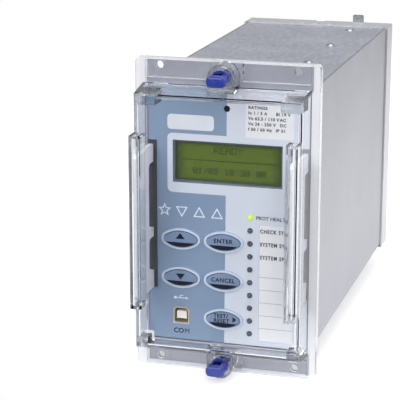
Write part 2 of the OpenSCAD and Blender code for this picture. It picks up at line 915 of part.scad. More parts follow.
module guide_rivets() {
    shank_end = rail_face + rail_groove;
    color("silver")
        both_ends()
            rail_rivet_places() {
                translate([0, 0, shank_end])
                    cylinder(h = sleeve_h / 2 - shank_end, d = rivet_d);
                translate([0, 0, sleeve_h / 2])
                    cylinder(h = rivet_head_h, d1 = rivet_head_d, d2 = rivet_top_d);
            }
}

// Relay element

module lcd_place() {
    translate([lcd_x, lcd_z])
        children();
}

module usb_outline(grow) {
    w = usb_w / 2 + grow;
    h = usb_h / 2 + grow;
    translate([key_left, usb_z])
        polygon([[-w, -h], [w, -h], [w, h - usb_chamfer], [w - usb_chamfer, h],
                 [usb_chamfer - w, h], [-w, h - usb_chamfer]]);
}

module led_holes_2d() {
    for (z = led_rows)
        translate([led_x, z])
            circle(d = led_d + 2 * led_gap);
}

module handle_screw_places() {
    for (x = [-1, 1], z = [handle_bottom + handle_leg / 2, handle_top - handle_leg / 2])
        translate([x * handle_screw_x, 0, z])
            children();
}

module chassis_screw_places() {
    for (x = [-1, 1], z = [-1, 1])
        translate([x * ear_x, 0, z * ear_z])
            children();
}

module fascia() {
    window_seat = label_front + lcd_window_t;
    color("lightslategray")
        difference() {
            slab(fascia_front, fascia_back)
                difference() {
                    rounded_rect(fascia_w, fascia_h, fascia_r);
                    lcd_place()
                        rect(lcd_w, lcd_h);
                    key_places_2d()
                        oval(ring_w - 2 * ring_t, ring_h - 2 * ring_t, ring_end_r - ring_t);
                    led_holes_2d();
                    usb_outline(seat_gap);
                    translate([0, fascia_screw_z])
                        circle(d = screw_d);
                }
            translate([0, 0, fascia_screw_z])
                rod(fascia_front - over, fascia_front + screw_head_h, screw_head_d + 2 * screw_gap);
            slab(fascia_front - over, window_seat)
                lcd_place()
                    rect(lcd_w + 2 * (lcd_lip + seat_gap), lcd_h + 2 * (lcd_lip + seat_gap));
            handle_screw_places()
                rod(fascia_front - over, fascia_back + over, handle_screw_d + 2 * screw_gap);
            chassis_screw_places()
                rod(fascia_back - ear_bore, fascia_back + over, screw_d);
        }
}

module fascia_label() {
    color("lightsteelblue")
        slab(label_front, fascia_front)
            difference() {
                rounded_rect(fascia_w - 2 * label_margin, fascia_h - 2 * label_margin, fascia_r);
                lcd_place()
                    rect(lcd_w + 2 * (lcd_lip + seat_gap), lcd_h + 2 * (lcd_lip + seat_gap));
                key_places_2d()
                    oval(ring_w + 2 * seat_gap, ring_h + 2 * seat_gap, ring_end_r);
                led_holes_2d();
                usb_outline(seat_gap);
                strip_outline(seat_gap);
                translate([0, fascia_screw_z])
                    circle(d = fascia_screw_hole);
                for (x = [-1, 1], z = [handle_bottom + handle_leg / 2, handle_top - handle_leg / 2])
                    translate([x * handle_screw_x, z])
                        circle(d = handle_screw_d + 2 * screw_gap);
            }
}

module fascia_screw() {
    color("dimgray")
        translate([0, fascia_front + screw_head_h, fascia_screw_z])
            slotted_screw(screw_d, screw_head_d, screw_head_h, fascia_t - screw_head_h + chassis_t);
}

module lcd_window() {
    color("white", 0.3)
        slab(label_front, label_front + lcd_window_t - clear_gap)
            lcd_place()
                rect(lcd_w + 2 * lcd_lip, lcd_h + 2 * lcd_lip);
}

module lcd_panel() {
    color("olivedrab")
        slab(fascia_back + seat_gap, fascia_back + seat_gap + lcd_glass_t)
            lcd_place()
                rect(lcd_w + 2 * lcd_lip, lcd_h + 2 * lcd_lip);
}

module lcd_module() {
    glass_front = fascia_back + seat_gap;
    color("darkolivegreen")
        difference() {
            slab(glass_front, front_board_y)
                lcd_place()
                    rect(lcd_w + 2 * lcd_border, lcd_h + 2 * lcd_border);
            slab(glass_front - over, glass_front + lcd_glass_t)
                lcd_place()
                    rect(lcd_w + 2 * (lcd_lip + seat_gap), lcd_h + 2 * (lcd_lip + seat_gap));
        }
}

module button_rings() {
    color("lavender")
        slab(label_front - ring_rise, fascia_front)
            key_places_2d()
                difference() {
                    oval(ring_w, ring_h, ring_end_r);
                    oval(ring_w - 2 * ring_t, ring_h - 2 * ring_t, ring_end_r - ring_t);
                }
}

module mat_outline() {
    pad_edge = mat_pad_d / 2 + mat_edge;
    low = usb_z - pad_edge;
    difference() {
        polygon([[key_left - pad_edge, low], [key_right + pad_edge, low],
                 [key_right + pad_edge, key_top + pad_edge], [key_left - pad_edge, key_top + pad_edge]]);
        usb_outline(screw_gap);
    }
}

module keypad_mat() {
    color("gray")
        union() {
            slab(front_board_y - mat_t, front_board_y)
                mat_outline();
            slab(key_end + key_travel + mat_gap, front_board_y - mat_t)
                key_places_2d()
                    circle(d = mat_pad_d);
        }
}

// A domed lamp on its foot, on the front board
module lamp(z) {
    translate([led_x, 0, z]) {
        translate([0, label_front, 0])
            sphere(d = led_d);
        rod(label_front, fascia_back + over, led_d);
        rod(fascia_back + led_foot, front_board_y, led_d + 2 * led_foot);
    }
}

module status_led() {
    color("yellowgreen")
        lamp(led_rows[0]);
}

module alarm_leds() {
    color("slategray")
        for (i = [1 : led_count - 1])
            lamp(led_rows[i]);
}

module strip_outline(grow) {
    translate([strip_left + strip_w / 2, strip_top - strip_h_total / 2])
        rect(strip_w + 2 * grow, strip_h_total + 2 * grow);
}

module led_label_strip() {
    color("white")
        slab(fascia_front - strip_t, fascia_front)
            strip_outline(0);
}

module usb_shell() {
    color("silver")
        difference() {
            slab(label_front - seat_gap, front_board_y)
                usb_outline(0);
            slab(label_front - over, front_board_y - usb_t)
                usb_outline(-usb_t);
        }
}

module usb_tongue() {
    color("antiquewhite")
        slab(label_front + usb_tongue_back, front_board_y - usb_t)
            translate([key_left, usb_z])
                rect(usb_tongue_w, usb_tongue_h);
}

// The handle's side view in Y and Z, with two finger gaps behind the grip
module handle_outline() {
    rib_low = handle_rib_z - handle_rib / 2;
    rib_high = handle_rib_z + handle_rib / 2;
    gap_len = finger_gap + finger_r;
    gap_y = finger_front + gap_len / 2;
    low = handle_bottom + handle_leg;
    high = handle_top - handle_leg;
    difference() {
        polygon([[pad_front, handle_bottom], [pad_front, handle_top],
                 [handle_front + handle_edge, handle_top], [handle_front, handle_top - handle_edge],
                 [handle_front, handle_bottom + handle_edge], [handle_front + handle_edge, handle_bottom]]);
        translate([gap_y, (rib_high + high) / 2])
            rounded_rect(gap_len, high - rib_high, finger_r);
        translate([gap_y, (low + rib_low) / 2])
            rounded_rect(gap_len, rib_low - low, finger_r);
    }
}

// The handle's section in X and Y, with its front edges taken off
module grip_section() {
    outer = handle_x + handle_t;
    polygon([[handle_x, pad_front], [outer, pad_front],
             [outer, handle_front + grip_edge], [outer - grip_edge, handle_front],
             [handle_x + grip_edge, handle_front], [handle_x, handle_front + grip_edge]]);
}

module handle_right() {
    color("ghostwhite")
        difference() {
            intersection() {
                plank(handle_x, handle_x + handle_t)
                    handle_outline();
                deck(handle_bottom, handle_top)
                    grip_section();
            }
            handle_screw_places()
                rod(label_front - handle_bore, label_front + over, handle_screw_d);
        }
}

module handle_left() {
    mirror([1, 0, 0])
        handle_right();
}

module handle_pad_right() {
    color("black")
        difference() {
            box([handle_x - pad_step, pad_front, handle_bottom],
                [handle_x + handle_t + handle_gap, label_front, handle_top + pad_end]);
            handle_screw_places()
                rod(pad_front - over, label_front + over, handle_screw_d + 2 * screw_gap);
        }
}

module handle_pad_left() {
    mirror([1, 0, 0])
        handle_pad_right();
}

module handle_screws() {
    shank = fascia_t + label_t + handle_bore;
    color("silver")
        handle_screw_places()
            translate([0, fascia_back, 0])
                rotate([0, 0, 180])
                    slotted_screw(handle_screw_d, handle_head_d, screw_head_h, shank);
}

// The upper plate, with ears on the fascia and a runner in the guide rail
module chassis_plate(centre_ear) {
    color("silver")
        difference() {
            union() {
                box([-chassis_w / 2, fascia_back, chassis_under],
                    [chassis_w / 2, chassis_back, chassis_top]);
                both_sides()
                    box([ear_x - ear_w / 2, fascia_back, chassis_top - ear_h],
                        [ear_x + ear_w / 2, fascia_back + chassis_t, chassis_top]);
                if (centre_ear)
                    box([-centre_ear_w / 2, fascia_back, chassis_top - ear_h],
                        [centre_ear_w / 2, fascia_back + chassis_t, chassis_top]);
                box([rail_x - runner_w / 2, rail_front, chassis_under],
                    [rail_x + runner_w / 2, chassis_back, runner_top]);
            }
            chassis_screw_places()
                rod(fascia_back - over, fascia_back + chassis_t + over, screw_d);
            if (centre_ear)
                translate([0, 0, fascia_screw_z])
                    rod(fascia_back - over, fascia_back + chassis_t + over, screw_d);
        }
}

module chassis_top_plate() {
    chassis_plate(true);
}

module chassis_bottom_plate() {
    mirror([0, 0, 1])
        chassis_plate(false);
}

module chassis_screws() {
    color("silver")
        chassis_screw_places()
            translate([0, fascia_back + chassis_t, 0])
                rotate([0, 0, 180])
                    slotted_screw(screw_d, screw_head_d, screw_head_h, chassis_t + ear_bore);
}

module front_board() {
    color("seagreen")
        slab(front_board_y, front_board_y + board_t)
            rect(front_board_w, 2 * (chassis_under - front_board_end_gap));
}

module front_board_pillars() {
    color("goldenrod")
        for (x = [-1, 1], z = [-1, 1])
            translate([x * pillar_x, 0, z * pillar_z])
                rod(fascia_back, front_board_y, pillar_d, $fn = 6);
}

module upright_board() {
    color("seagreen")
        plank(-board_t / 2, board_t / 2)
            translate([board_front + board_len / 2, 0])
                rect(board_len, 2 * chassis_under);
}

module power_board() {
    translate([-block_x, 0, 0])
        upright_board();
}

module signal_board() {
    translate([block_x, 0, 0])
        upright_board();
}

// A column of like parts on a board, near the rear connectors
module board_column(count, pitch, y) {
    for (i = [0 : count - 1])
        translate([0, y, (i - (count - 1) / 2) * pitch])
            children();
}

module transformers() {
    color("saddlebrown")
        translate([-block_x - board_t / 2 - transformer_x / 2, 0, 0])
            board_column(transformer_count, transformer_pitch, connector_front - transformer_y) {
                cube([transformer_core, transformer_y, transformer_z], center = true);
                plank(-transformer_x / 2, transformer_x / 2)
                    rounded_rect(coil_y, coil_z, coil_r);
            }
}

module output_relays() {
    color("lightsteelblue")
        translate([block_x + board_t / 2, 0, 0])
            board_column(output_count, output_pitch, connector_front - output_y)
                plank(0, output_x)
                    rounded_rect(output_y, output_z, output_r);
}

module capacitors() {
    color("midnightblue")
        translate([-block_x + board_t / 2, 0, 0])
            board_column(capacitor_count, capacitor_pitch, board_front + capacitor_y)
                rotate([0, 90, 0])
                    cylinder(h = capacitor_len, d = capacitor_d);
}

module rear_connector() {
    color("darkslategray")
        difference() {
            slab(connector_front, connector_back)
                rect(connector_w, block_h);
            terminal_places()
                box([-contact_w / 2, connector_back - contact_depth, -contact_h / 2],
                    [contact_w / 2, connector_back + over, contact_h / 2]);
        }
}

module rear_connector_left() {
    translate([-block_x, 0, 0])
        rear_connector();
}

module rear_connector_right() {
    translate([block_x, 0, 0])
        rear_connector();
}

// Keys

module push_button(index) {
    place = key_places[index];
    cap_w = ring_w - 2 * (ring_t + key_gap);
    cap_h = ring_h - 2 * (ring_t + key_gap);
    color("lightslategray")
        translate([place[1], 0, key_top - place[2] * key_pitch]) {
            slab(label_front - ring_rise - key_rise, key_back + key_flange_t)
                oval(cap_w, cap_h, ring_end_r - ring_t - key_gap);
            slab(key_back, key_back + key_flange_t)
                oval(ring_w, ring_h, ring_end_r);
            rod(key_back, key_back + key_flange_t + key_stem, key_stem_d);
        }
}

module button_up() {
    push_button(0);
}

module button_enter() {
    push_button(1);
}

module button_down() {
    push_button(2);
}

module button_cancel() {
    push_button(3);
}

module button_test() {
    push_button(4);
}

// Cover

// A drafted box with chamfered front edges: inset is 0 outside and the wall inside
module cover_form(inset, back) {
    base_x = cover_base_w / 2 - inset;
    base_z = cover_base_h / 2 - inset;
    face_x = cover_face_w / 2 - inset;
    face_z = cover_face_h / 2 - inset;
    front = cover_front + inset;
    edge = cover_edge;
    intersection() {
        plank(-cover_base_w, cover_base_w)
            polygon([[back, -base_z], [back, base_z], [front + edge, face_z], [front, face_z - edge],
                     [front, edge - face_z], [front + edge, -face_z]]);
        deck(-cover_base_h, cover_base_h)
            polygon([[-base_x, back], [base_x, back], [face_x, front + edge], [face_x - edge, front],
                     [edge - face_x, front], [-face_x, front + edge]]);
    }
}

// A side ridge: inset is 0 outside and the wall inside
module ridge_form(inset, back) {
    inner = ridge_inner + inset;
    outer = ridge_outer - inset;
    front = ridge_front + inset;
    edge = cover_edge;
    both_sides()
        deck(ridge_bottom + inset, ridge_top - inset)
            polygon([[inner, back], [outer, back], [outer, front + edge], [outer - edge, front],
                     [inner + edge, front], [inner, front + edge]]);
}

// A pin boss beyond the cover's end wall: inset is 0 outside and the wall inside
module boss_form(inset, back) {
    low = cover_base_h / 2 - cover_t + 2 * inset;
    both_ends()
        slab(boss_front + inset, back) {
            translate([0, pin_z])
                circle(r = boss_r - inset);
            translate([0, (low + pin_z) / 2])
                rect(2 * (boss_r - inset), pin_z - low);
        }
}

module cover_corner_blocks() {
    block_back = label_front - block_gap;
    wall_x = cover_base_w / 2 - cover_t;
    wall_z = cover_face_h / 2 - cover_t;
    intersection() {
        cover_form(cover_t / 2, block_back);
        both_sides() {
            box([wall_x - upper_block_w, cover_front, wall_z - upper_block_h],
                [cover_base_w, block_back, cover_base_h]);
            box([wall_x - lower_block_w, cover_front, -cover_base_h],
                [cover_base_w, block_back, lower_block_h - wall_z]);
        }
    }
}

module cover() {
    color("white", 0.3)
        difference() {
            union() {
                difference() {
                    union() {
                        cover_form(0, cover_back);
                        ridge_form(0, cover_front + cover_t);
                        boss_form(0, cover_back);
                    }
                    cover_form(cover_t, bezel_front + over);
                    ridge_form(cover_t, cover_front + 2 * cover_t);
                    boss_form(cover_t, bezel_front + over);
                }
                cover_corner_blocks();
            }
            both_ends()
                translate([0, 0, pin_z])
                    rod(boss_front - over, bezel_front, pin_d + 2 * pin_fit);
            box([-drain_w / 2, bezel_front - drain_back - drain_len, -cover_base_h / 2],
                [drain_w / 2, bezel_front - drain_back, cover_t - cover_face_h / 2 + over]);
        }
}

// A bar along Y with a rounded front edge
module round_fronted_bar(front, back, d, r) {
    translate([0, back, 0])
        rotate([90, 0, 0])
            rotate_extrude() {
                square([d / 2 - r, back - front]);
                square([d / 2, back - front - r]);
                intersection() {
                    translate([d / 2 - r, back - front - r])
                        circle(r = r);
                    square([d, back - front]);
                }
            }
}

// A thumb pin, with a groove behind the boss for its clip
module securing_pin() {
    color("royalblue") {
        difference() {
            intersection() {
                slab(wing_front, wing_back)
                    oval(wing_w, wing_h, wing_end_r);
                round_fronted_bar(wing_front, wing_back, wing_w, wing_edge);
                plank(-wing_w, wing_w)
                    translate([(wing_front + wing_back + wing_edge) / 2, 0])
                        rounded_rect(wing_len + wing_edge, wing_h, wing_edge);
            }
            both_ends()
                box([-wing_groove_w / 2, wing_back - wing_groove_len, wing_h / 2 - wing_groove],
                    [wing_groove_w / 2, wing_back + over, wing_h]);
        }
        rod(wing_back, collar_back, collar_d);
        rod(wing_back, clip_front, pin_d);
        rod(collar_back, clip_front + clip_t + seat_gap, pin_d - 2 * clip_groove);
        rod(clip_front + clip_t + seat_gap, pin_tip, pin_d);
    }
}

// An open spring clip in the pin's groove
module pin_clip() {
    clip_bore = pin_d - 2 * clip_groove + seat_gap;
    color("silver")
        difference() {
            rod(clip_front, clip_front + clip_t, clip_d);
            rod(clip_front - over, clip_front + clip_t + over, clip_bore);
            box([-clip_mouth / 2, clip_front - over, 0],
                [clip_mouth / 2, clip_front + clip_t + over, clip_d]);
        }
}

module pin_top() {
    translate([0, 0, pin_z])
        securing_pin();
}

module pin_clip_top() {
    translate([0, 0, pin_z])
        pin_clip();
}

module pin_bottom() {
    translate([0, 0, -pin_z])
        securing_pin();
}

module pin_clip_bottom() {
    translate([0, 0, -pin_z])
        pin_clip();
}

case_shell();
case_lid();
rear_panel();
mounting_flange();
flange_bezel();
terminal_block_left();
terminal_block_right();
terminal_screws();
terminal_block_screws();
earth_clamp();
earth_screw();
guide_rail_top();
guide_rail_bottom();
guide_rivets();
fascia();
fascia_label();
fascia_screw();
lcd_window();
lcd_panel();
lcd_module();
button_rings();
keypad_mat();
status_led();
alarm_leds();
led_label_strip();
usb_shell();
usb_tongue();
handle_left();
handle_right();
handle_pad_left();
handle_pad_right();
handle_screws();
chassis_top_plate();
chassis_bottom_plate();
chassis_screws();
front_board();
front_board_pillars();
power_board();
signal_board();
transformers();
output_relays();
capacitors();
rear_connector_left();
rear_connector_right();
button_up();
button_enter();
button_down();
button_cancel();
button_test();
cover();
pin_top();
pin_clip_top();
pin_bottom();
pin_clip_bottom();
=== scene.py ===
# Protection relay in a withdrawable panel case: finishes, print, light and camera.
# The part's own frame: X to the right, the front faces -Y, Z up. Blender works in metres, and
# places and sizes on the part are written in millimetres.
import math

import bmesh
import bpy
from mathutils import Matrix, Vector


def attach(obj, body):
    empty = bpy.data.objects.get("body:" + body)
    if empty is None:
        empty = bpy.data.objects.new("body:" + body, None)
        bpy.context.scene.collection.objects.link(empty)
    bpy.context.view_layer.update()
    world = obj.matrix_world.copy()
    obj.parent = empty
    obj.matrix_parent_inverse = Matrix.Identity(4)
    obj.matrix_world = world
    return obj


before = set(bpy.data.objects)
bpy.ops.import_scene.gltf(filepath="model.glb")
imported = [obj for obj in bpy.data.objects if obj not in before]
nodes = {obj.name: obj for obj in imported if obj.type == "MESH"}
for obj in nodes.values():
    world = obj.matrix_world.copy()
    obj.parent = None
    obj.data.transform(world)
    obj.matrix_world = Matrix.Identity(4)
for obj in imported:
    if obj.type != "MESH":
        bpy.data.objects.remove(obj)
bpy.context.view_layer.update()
MM = 0.001

# Places on the part, in millimetres
FILM_Y = -5.2       # front of the printed film
STRIP_Y = -5.1      # front of the label strip
KEY_Y = -7.0        # front of the keys
LCD_Y = -1.6        # front of the display
TERMINAL_Y = 236.5  # rear of the terminal blocks
FLOOR_Z = -88.6     # just under the flange
PIN_Z = 81.0        # height of the pins above and below the middle
LAMP_TOP = 2.0      # height of the green lamp
LAMP_PITCH = 7.48   # step down from each lamp to the next
STRIP_LEFT, STRIP_RIGHT = 18.8, 38.2
LCD_X, LCD_Z, LCD_W, LCD_H = 0.25, 31.2, 60.2, 22.0
PRINT_T = 0.05      # thickness of printed marks
FINE_T = 0.03       # thickness of thin rules and of the display's dots
LABEL_T = 0.08      # thickness of the rating label
KEYS = {
    "button_up": (-26.1, -13.1), "button_enter": (-1.4, -13.1),
    "button_down": (-26.1, -35.6), "button_cancel": (-1.4, -35.6),
    "button_test": (-1.4, -58.1),
}


def tone(r, g, b):
    """A colour picked as 0 to 255 on screen, as the shader's linear colour."""
    lin = [c / 255 / 12.92 if c < 10.3 else ((c / 255 + 0.055) / 1.055) ** 2.4 for c in (r, g, b)]
    return (*lin, 1.0)


# Finishes

PLASTIC_IOR = 1.49


def lighter(colour, by):
    """A colour times a number, for a lighter or a darker shade of it."""
    return (*[min(1.0, c * by) for c in colour[:3]], 1.0)


def set_range(node, start, stop, low, high):
    """Sets the two ranges of a Map Range node."""
    for socket, value in (("From Min", start), ("From Max", stop),
                          ("To Min", low), ("To Max", high)):
        node.inputs[socket].default_value = value


class Finish:
    """A material with its nodes, on Object coordinates."""

    def __init__(self, name, colour, roughness, metallic=0.0):
        self.mat = bpy.data.materials.new(name)
        self.mat.use_nodes = True
        self.tree = self.mat.node_tree
        self.bsdf = self.tree.nodes["Principled BSDF"]
        self.set("Base Color", colour)
        self.set("Roughness", roughness)
        self.set("Metallic", metallic)
        self.coords = self.add("ShaderNodeTexCoord").outputs["Object"]

    def add(self, kind, **values):
        node = self.tree.nodes.new(kind)
        for key, value in values.items():
            setattr(node, key, value)
        return node

    def set(self, socket, value):
        self.bsdf.inputs[socket].default_value = value

    def wire(self, source, target):
        self.tree.links.new(source, target)

    def stretch(self, scale):
        node = self.add("ShaderNodeMapping")
        node.inputs["Scale"].default_value = scale
        self.wire(self.coords, node.inputs["Vector"])
        return node.outputs["Vector"]

    def noise(self, scale, detail=3.0, rough=0.55, along=None):
        node = self.add("ShaderNodeTexNoise")
        node.inputs["Scale"].default_value = scale
        node.inputs["Detail"].default_value = detail
        node.inputs["Roughness"].default_value = rough
        self.wire(self.stretch(along) if along else self.coords, node.inputs["Vector"])
        return node.outputs["Fac"]

    def ramp(self, source, stops):
        node = self.add("ShaderNodeValToRGB")
        ends = node.color_ramp.elements
        while len(ends) < len(stops):
            ends.new(0.5)
        for end, (place, colour) in zip(ends, stops):
            end.position = place
            end.color = colour
        self.wire(source, node.inputs["Fac"])
        return node.outputs["Color"]

    def shade(self, source, colour, low, high, start=0.3, stop=0.7):
        """A colour that goes from low to high times itself with the source."""
        return self.ramp(source, [(start, lighter(colour, low)), (stop, lighter(colour, high))])

    def spread(self, source, low, high, start=0.3, stop=0.7):
        """A number that goes from low to high with the source."""
        node = self.add("ShaderNodeMapRange")
        set_range(node, start, stop, low, high)
        self.wire(source, node.inputs["Value"])
        return node.outputs["Result"]

    def maths(self, kind, a, b=None):
        node = self.add("ShaderNodeMath", operation=kind)
        for socket, value in zip(node.inputs, (a, b)):
            if value is None:
                continue
            if isinstance(value, (int, float)):
                socket.default_value = value
            else:
                self.wire(value, socket)
        return node.outputs["Value"]

    def off(self, place, centre=0.0):
        """How far a place lies from a centre, either way."""
        return self.maths("ABSOLUTE", self.maths("SUBTRACT", place, centre))

    def both(self, first, second):
        """1 where both masks are 1."""
        return self.maths("MULTIPLY", first, second)

    def axes(self):
        """X, Y and Z of a point, in metres."""
        node = self.add("ShaderNodeSeparateXYZ")
        self.wire(self.coords, node.inputs["Vector"])
        return node.outputs

    def choose(self, mask, first, second):
        """The first colour where the mask is 0 and the second where it is 1."""
        node = self.add("ShaderNodeMix", data_type="RGBA")
        self.wire(mask, node.inputs[0])
        for socket, value in ((node.inputs[6], first), (node.inputs[7], second)):
            if isinstance(value, tuple):
                socket.default_value = value
            else:
                self.wire(value, socket)
        return node.outputs[2]

    def bump(self, source, depth, strength):
        """Relief of a depth in millimetres."""
        node = self.add("ShaderNodeBump")
        node.inputs["Strength"].default_value = strength
        node.inputs["Distance"].default_value = depth * MM
        self.wire(source, node.inputs["Height"])
        self.wire(node.outputs["Normal"], self.bsdf.inputs["Normal"])

    def colour(self, source):
        self.wire(source, self.bsdf.inputs["Base Color"])

    def rough(self, source):
        self.wire(source, self.bsdf.inputs["Roughness"])


def sheet_metal(name, colour, roughness, grain, metallic=0.75, fine=900, vary=0.13):
    """Rolled zinc-coated sheet: a soft spangle and fine rolling lines along the grain."""
    f = Finish(name, colour, roughness, metallic)
    cells = f.add("ShaderNodeTexVoronoi")
    cells.inputs["Scale"].default_value = 260
    f.wire(f.coords, cells.inputs["Vector"])
    spangle = f.noise(fine, detail=4, rough=0.7, along=grain)
    cloud = f.noise(28)
    blend = f.maths("ADD", f.maths("MULTIPLY", spangle, 0.7), f.maths("MULTIPLY", cloud, 0.3))
    dark, light = lighter(colour, 1 - vary), lighter(colour, 1 + vary)
    f.colour(f.ramp(blend, [(0.32, dark), (0.52, colour), (0.72, light)]))
    f.rough(f.spread(spangle, roughness - 0.07, roughness + 0.09))
    relief = f.maths("ADD", spangle, f.maths("MULTIPLY", cells.outputs["Distance"], 0.25))
    f.bump(relief, 0.06, 0.35)
    return f.mat


def moulded_plastic(name, colour, roughness, grain=1400, vary=0.06):
    """Injection-moulded plastic with a fine eroded texture and a little shading in its colour."""
    f = Finish(name, colour, roughness)
    skin = f.noise(grain, detail=2, rough=0.6)
    f.colour(f.shade(f.noise(45), colour, 1 - vary, 1 + vary))
    f.rough(f.spread(skin, roughness - 0.06, roughness + 0.08))
    f.bump(skin, 0.04, 0.25)
    return f.mat


def make_wavy(f, scale, low, high):
    """The slight waviness of a moulded clear wall, with its roughness from low to high."""
    flow = f.noise(scale, detail=2, rough=0.4)
    f.rough(f.spread(flow, low, high))
    f.bump(flow, 0.03, 0.12)


def clear_plastic(name, colour, roughness, waves):
    """Clear moulded plastic."""
    f = Finish(name, colour, roughness)
    f.set("Transmission Weight", 1.0)
    f.set("IOR", PLASTIC_IOR)
    make_wavy(f, waves, roughness, roughness + 0.03)
    return f


def cover_plastic():
    """The clear cover: grey where light goes a long way through it."""
    f = clear_plastic("cover_clear", tone(246, 247, 249), 0.015, 60)
    dulled = f.add("ShaderNodeVolumeAbsorption")
    dulled.inputs["Color"].default_value = (0.0, 0.04, 0.12, 1.0)
    dulled.inputs["Density"].default_value = 22.0
    f.wire(dulled.outputs["Volume"], f.tree.nodes["Material Output"].inputs["Volume"])
    return f.mat


def flange_plastic():
    """The flange's moulding: clear in its thin recessed strips and milky where it is thick."""
    strip_x, strip_half_width = 0.9 * MM, 47.1 * MM
    strip_z, strip_half_height = 80.55 * MM, 7.05 * MM
    side_x = 51.4 * MM
    side_clear, milky_clear = 0.85, 0.42
    f = Finish("flange_clear", tone(236, 237, 241), 0.06)
    f.set("IOR", PLASTIC_IOR)
    x, _, z = f.axes()
    strip = f.both(f.maths("LESS_THAN", f.off(x, strip_x), strip_half_width),
                   f.maths("LESS_THAN", f.off(f.off(z), strip_z), strip_half_height))
    side = f.maths("GREATER_THAN", f.off(x), side_x)
    clear = f.maths("MAXIMUM", strip, f.maths("MULTIPLY", side, side_clear))
    f.wire(f.spread(clear, milky_clear, 1.0, 0.0, 1.0), f.bsdf.inputs["Transmission Weight"])
    make_wavy(f, 90, 0.05, 0.09)
    return f.mat


def pin_plastic():
    """Glossy blue thumb pins, with painted shade darkening the finger grooves of their wings."""
    # dark is the painted shade laid in the finger grooves
    blue, dark = tone(42, 57, 144), tone(16, 14, 62)
    groove_half_width, groove_half_height = 2.31 * MM, 3.1 * MM
    groove_front = -27.3 * MM
    f = Finish("pin_blue", blue, 0.2)
    x, y, z = f.axes()
    flow = f.noise(300)
    # Mask of the finger grooves, which get the painted shade
    shaded_groove = f.both(f.maths("LESS_THAN", f.off(x), groove_half_width),
                    f.maths("LESS_THAN", f.off(f.off(z), PIN_Z * MM), groove_half_height))
    shaded_groove = f.both(shaded_groove, f.maths("GREATER_THAN", y, groove_front))
    f.colour(f.choose(shaded_groove, f.shade(flow, blue, 0.86, 1.18), dark))
    f.rough(f.spread(flow, 0.16, 0.3))
    f.bump(f.noise(900, detail=2), 0.03, 0.2)
    return f.mat


def screw_metal(name, colour, roughness, metallic=1.0):
    """Bright turned or pressed metal."""
    f = Finish(name, colour, roughness, metallic)
    turned = f.noise(2200, rough=0.6)
    f.colour(f.shade(turned, colour, 0.88, 1.08))
    f.rough(f.spread(turned, roughness - 0.08, roughness + 0.1))
    f.bump(turned, 0.03, 0.2)
    return f.mat


def inside_rounded(f, x, z, centre, half, radius):
    """1 inside a rounded rectangle on the film; sizes in millimetres."""
    squares = []
    for place, middle, reach in zip((x, z), centre, half):
        past = f.maths("SUBTRACT", f.off(place, middle * MM), (reach - radius) * MM)
        past = f.maths("MAXIMUM", past, 0.0)
        squares.append(f.maths("MULTIPLY", past, past))
    return f.maths("LESS_THAN", f.maths("SQRT", f.maths("ADD", *squares)), radius * MM)


def printed_film():
    """The front film: blue-grey on the left, light grey on the right and round the display."""
    blue, grey = tone(128, 148, 174), tone(209, 214, 224)
    edge_lean, edge_x = 0.0075, -0.5 * MM
    f = Finish("film_print", grey, 0.42)
    x, _, z = f.axes()
    edge = f.maths("ADD", f.maths("MULTIPLY", z, edge_lean), edge_x)
    right = f.maths("GREATER_THAN", x, edge)
    surround = inside_rounded(f, x, z, centre=(5.0, 30.25), half=(38.9, 16.75), radius=3.0)
    grey_part = f.maths("MAXIMUM", right, surround)
    cloud = f.noise(22, detail=2)
    f.colour(f.choose(grey_part, f.shade(cloud, blue, 0.95, 1.05),
                      f.shade(cloud, grey, 0.97, 1.02)))
    skin = f.noise(2600, detail=2)
    f.rough(f.spread(skin, 0.36, 0.5))
    f.bump(skin, 0.02, 0.2)
    return f.mat


def display_glass():
    """The green display, with painted shade darkening it towards its rim, and its fine pixel
    lattice.
    """
    # dark is the painted shade at the display's rim
    green, dark = tone(96, 116, 24), tone(58, 76, 14)
    f = Finish("display_green", green, 0.25)
    x, _, z = f.axes()
    across = f.maths("DIVIDE", f.off(x, LCD_X * MM), LCD_W / 2 * MM)
    along = f.maths("DIVIDE", f.off(z, LCD_Z * MM), LCD_H / 2 * MM)
    rim = f.maths("MAXIMUM", across, along)
    lattice = f.add("ShaderNodeTexBrick", offset=0.0)
    lattice.inputs["Scale"].default_value = 1600
    lattice.inputs["Mortar Size"].default_value = 0.06
    lattice.inputs["Color1"].default_value = (1, 1, 1, 1)
    lattice.inputs["Color2"].default_value = (1, 1, 1, 1)
    lattice.inputs["Mortar"].default_value = (0.82, 0.82, 0.82, 1)
    turn = f.add("ShaderNodeMapping")
    turn.inputs["Rotation"].default_value = (math.pi / 2, 0, 0)
    f.wire(f.coords, turn.inputs["Vector"])
    f.wire(turn.outputs["Vector"], lattice.inputs["Vector"])
    # Painted shade: the green goes dark towards the display's rim
    base = f.ramp(rim, [(0.8, green), (1.0, dark)])
    mix = f.add("ShaderNodeMix", data_type="RGBA", blend_type="MULTIPLY")
    mix.inputs[0].default_value = 1.0
    f.wire(base, mix.inputs[6])
    f.wire(lattice.outputs["Color"], mix.inputs[7])
    f.colour(mix.outputs[2])
    return f.mat


def circuit_board():
    """Green board with a lattice of darker tracks under its lacquer."""
    green, track = tone(24, 96, 58), tone(16, 70, 42)
    f = Finish("board_lacquer", green, 0.35)
    lines = f.add("ShaderNodeTexVoronoi", feature="DISTANCE_TO_EDGE", distance="MANHATTAN")
    lines.inputs["Scale"].default_value = 230
    f.wire(f.coords, lines.inputs["Vector"])
    away = lines.outputs["Distance"]
    f.colour(f.ramp(away, [(0.04, lighter(green, 1.35)), (0.12, track), (0.5, green)]))
    f.bump(away, 0.04, 0.3)
    return f.mat


